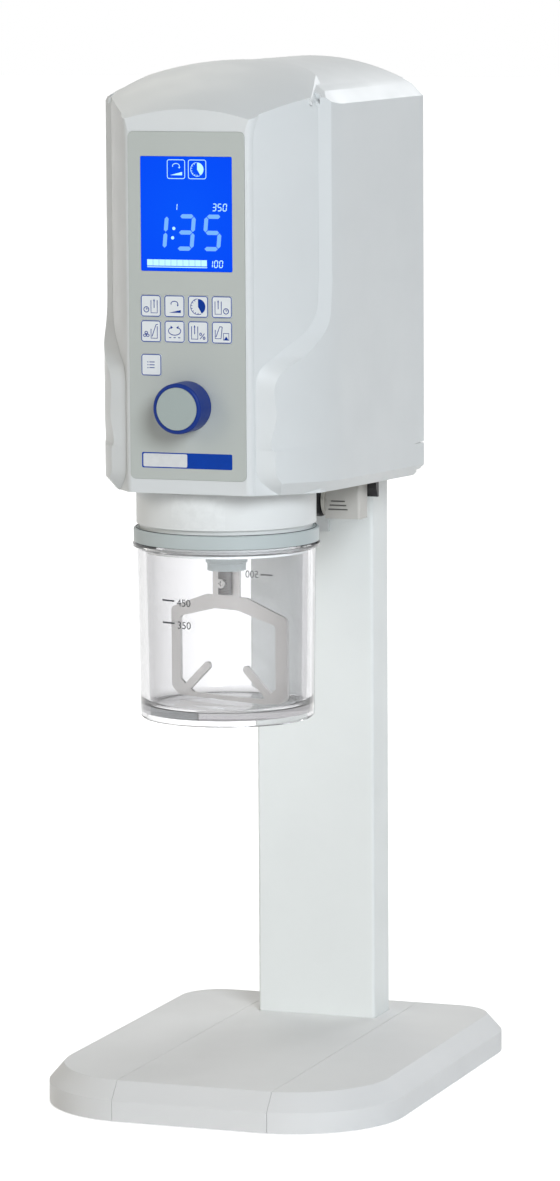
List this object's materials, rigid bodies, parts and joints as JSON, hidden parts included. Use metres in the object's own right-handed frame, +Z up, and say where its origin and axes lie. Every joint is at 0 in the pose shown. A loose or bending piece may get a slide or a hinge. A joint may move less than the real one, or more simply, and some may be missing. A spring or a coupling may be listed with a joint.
{
  "type": "dental vacuum mixer",
  "caption": "Bench-top dental vacuum mixer: control head with display, keys and knob on a column and base, clear mixing bowl and paddle docked below.",
  "frame": {"origin": "on the bench, under the middle of the machine's box", "axes": "+Z up, front panel faces -Y, +X to the right seen from the front"},
  "size_m": [0.23, 0.3087, 0.6459],
  "materials": {
    "housing_shell": "satin",
    "base_shell": "fine texture",
    "column_coat": "satin",
    "steel_sheet": "zinc plated",
    "machined_steel": "fine turned",
    "motor_case": "satin",
    "pump_case": "cast",
    "panel_foil": "satin",
    "display_glass": "clear",
    "display_case": "satin",
    "key_foil": "satin",
    "knob_blue": "fine texture",
    "knob_face": "satin",
    "circuit_board": "solder mask",
    "black_plastic": "fine texture",
    "grey_plastic": "satin",
    "light_plastic": "satin",
    "lid_plastic": "gloss",
    "seal_rubber": "satin",
    "clear_plastic": "clear",
    "black_rubber": "matte",
    "hose_tube": "translucent"
  },
  "bodies": {
    "stand": {"base_center": "base_shell", "base_wing_left": "base_shell", "base_wing_right": "base_shell", "base_plate": "steel_sheet", "base_screws": "machined_steel", "rubber_feet": "black_rubber", "column_tube": "column_coat", "column_foot": "steel_sheet", "column_bolts": "machined_steel", "column_cap": "grey_plastic", "hanger_bracket": "steel_sheet", "bracket_screws": "machined_steel", "front_housing": "housing_shell", "rear_housing": "housing_shell", "bottom_cover": "housing_shell", "back_plate": "column_coat", "back_plate_screws": "machined_steel", "chassis": "steel_sheet", "chassis_bolts": "machined_steel", "control_panel": "panel_foil", "display_window": "display_glass", "display_module": "display_case", "control_board": "circuit_board", "rotary_encoder": "black_plastic", "bearing_housing": "pump_case", "spindle_bearings": "machined_steel", "drive_belt": "black_rubber", "drive_motor": "motor_case", "vacuum_pump": "pump_case", "power_board": "circuit_board", "vacuum_hose": "hose_tube", "power_inlet": "black_plastic", "switch_frame": "black_plastic", "filter_holder": "black_plastic"},
    "spindle": {"drive_spindle": "machined_steel", "drive_pulley": "pump_case"},
    "motor_rotor": {"motor_shaft": "machined_steel", "motor_pulley": "pump_case"},
    "knob": {"control_knob": "knob_blue", "knob_disc": "knob_face", "knob_shaft": "machined_steel"},
    "rocker": {"power_switch": "black_plastic"},
    "filter": {"filter_cover": "grey_plastic", "filter_disc": "light_plastic"},
    "lid_unit": {"lid": "lid_plastic", "lid_seal_ring": "seal_rubber", "lid_hub": "seal_rubber"},
    "paddle_unit": {"paddle_shaft": "machined_steel", "paddle": "machined_steel", "paddle_screw": "machined_steel"},
    "bowl": {"mixing_bowl": "clear_plastic"},
    "premix_key_cap": {"premix_key": "key_foil"},
    "speed_key_cap": {"speed_key": "key_foil"},
    "time_key_cap": {"time_key": "key_foil"},
    "postmix_key_cap": {"postmix_key": "key_foil"},
    "stir_key_cap": {"stir_key": "key_foil"},
    "reverse_key_cap": {"reverse_key": "key_foil"},
    "vacuum_key_cap": {"vacuum_key": "key_foil"},
    "vessel_key_cap": {"vessel_key": "key_foil"},
    "program_key_cap": {"program_key": "key_foil"}
  },
  "joints": [
    {"name": "premix_press", "type": "slide", "parent": "stand", "child": "premix_key_cap", "axis": [0, 1, 0], "range_m": [0, 0.0004], "stiffness_N_per_m": 300},
    {"name": "speed_press", "type": "slide", "parent": "stand", "child": "speed_key_cap", "axis": [0, 1, 0], "range_m": [0, 0.0004], "stiffness_N_per_m": 300},
    {"name": "time_press", "type": "slide", "parent": "stand", "child": "time_key_cap", "axis": [0, 1, 0], "range_m": [0, 0.0004], "stiffness_N_per_m": 300},
    {"name": "postmix_press", "type": "slide", "parent": "stand", "child": "postmix_key_cap", "axis": [0, 1, 0], "range_m": [0, 0.0004], "stiffness_N_per_m": 300},
    {"name": "stir_press", "type": "slide", "parent": "stand", "child": "stir_key_cap", "axis": [0, 1, 0], "range_m": [0, 0.0004], "stiffness_N_per_m": 300},
    {"name": "reverse_press", "type": "slide", "parent": "stand", "child": "reverse_key_cap", "axis": [0, 1, 0], "range_m": [0, 0.0004], "stiffness_N_per_m": 300},
    {"name": "vacuum_press", "type": "slide", "parent": "stand", "child": "vacuum_key_cap", "axis": [0, 1, 0], "range_m": [0, 0.0004], "stiffness_N_per_m": 300},
    {"name": "vessel_press", "type": "slide", "parent": "stand", "child": "vessel_key_cap", "axis": [0, 1, 0], "range_m": [0, 0.0004], "stiffness_N_per_m": 300},
    {"name": "program_press", "type": "slide", "parent": "stand", "child": "program_key_cap", "axis": [0, 1, 0], "range_m": [0, 0.0004], "stiffness_N_per_m": 300},
    {"name": "knob_turn", "type": "hinge", "parent": "stand", "child": "knob", "pos_m": [0, -0.144, 0.4413], "axis": [0, -1, 0], "continuous": true},
    {"name": "switch_rock", "type": "hinge", "parent": "stand", "child": "rocker", "pos_m": [0.057, 0.0828, 0.448], "axis": [1, 0, 0], "range_deg": [0, 16]},
    {"name": "spindle_spin", "type": "hinge", "parent": "stand", "child": "spindle", "pos_m": [0, -0.071, 0.41], "axis": [0, 0, 1], "continuous": true},
    {"name": "motor_spin", "type": "hinge", "parent": "stand", "child": "motor_rotor", "pos_m": [0, 0.01, 0.46], "axis": [0, 0, 1], "continuous": true},
    {"name": "paddle_spin", "type": "hinge", "parent": "lid_unit", "child": "paddle_unit", "pos_m": [0, -0.071, 0.33], "axis": [0, 0, 1], "continuous": true},
    {"name": "filter_pull", "type": "slide", "parent": "stand", "child": "filter", "axis": [1, 0, 0], "range_m": [0, 0.035]},
    {"name": "lid_drop", "type": "slide", "parent": "stand", "child": "lid_unit", "axis": [0, 0, -1], "range_m": [0, 0.06]},
    {"name": "bowl_drop", "type": "slide", "parent": "lid_unit", "child": "bowl", "axis": [0, 0, -1], "range_m": [0, 0.1]}
  ],
  "couplings": [
    {"joint": "motor_spin", "follows": "spindle_spin", "ratio": 2.6667},
    {"joint": "paddle_spin", "follows": "spindle_spin", "ratio": 1}
  ]
}
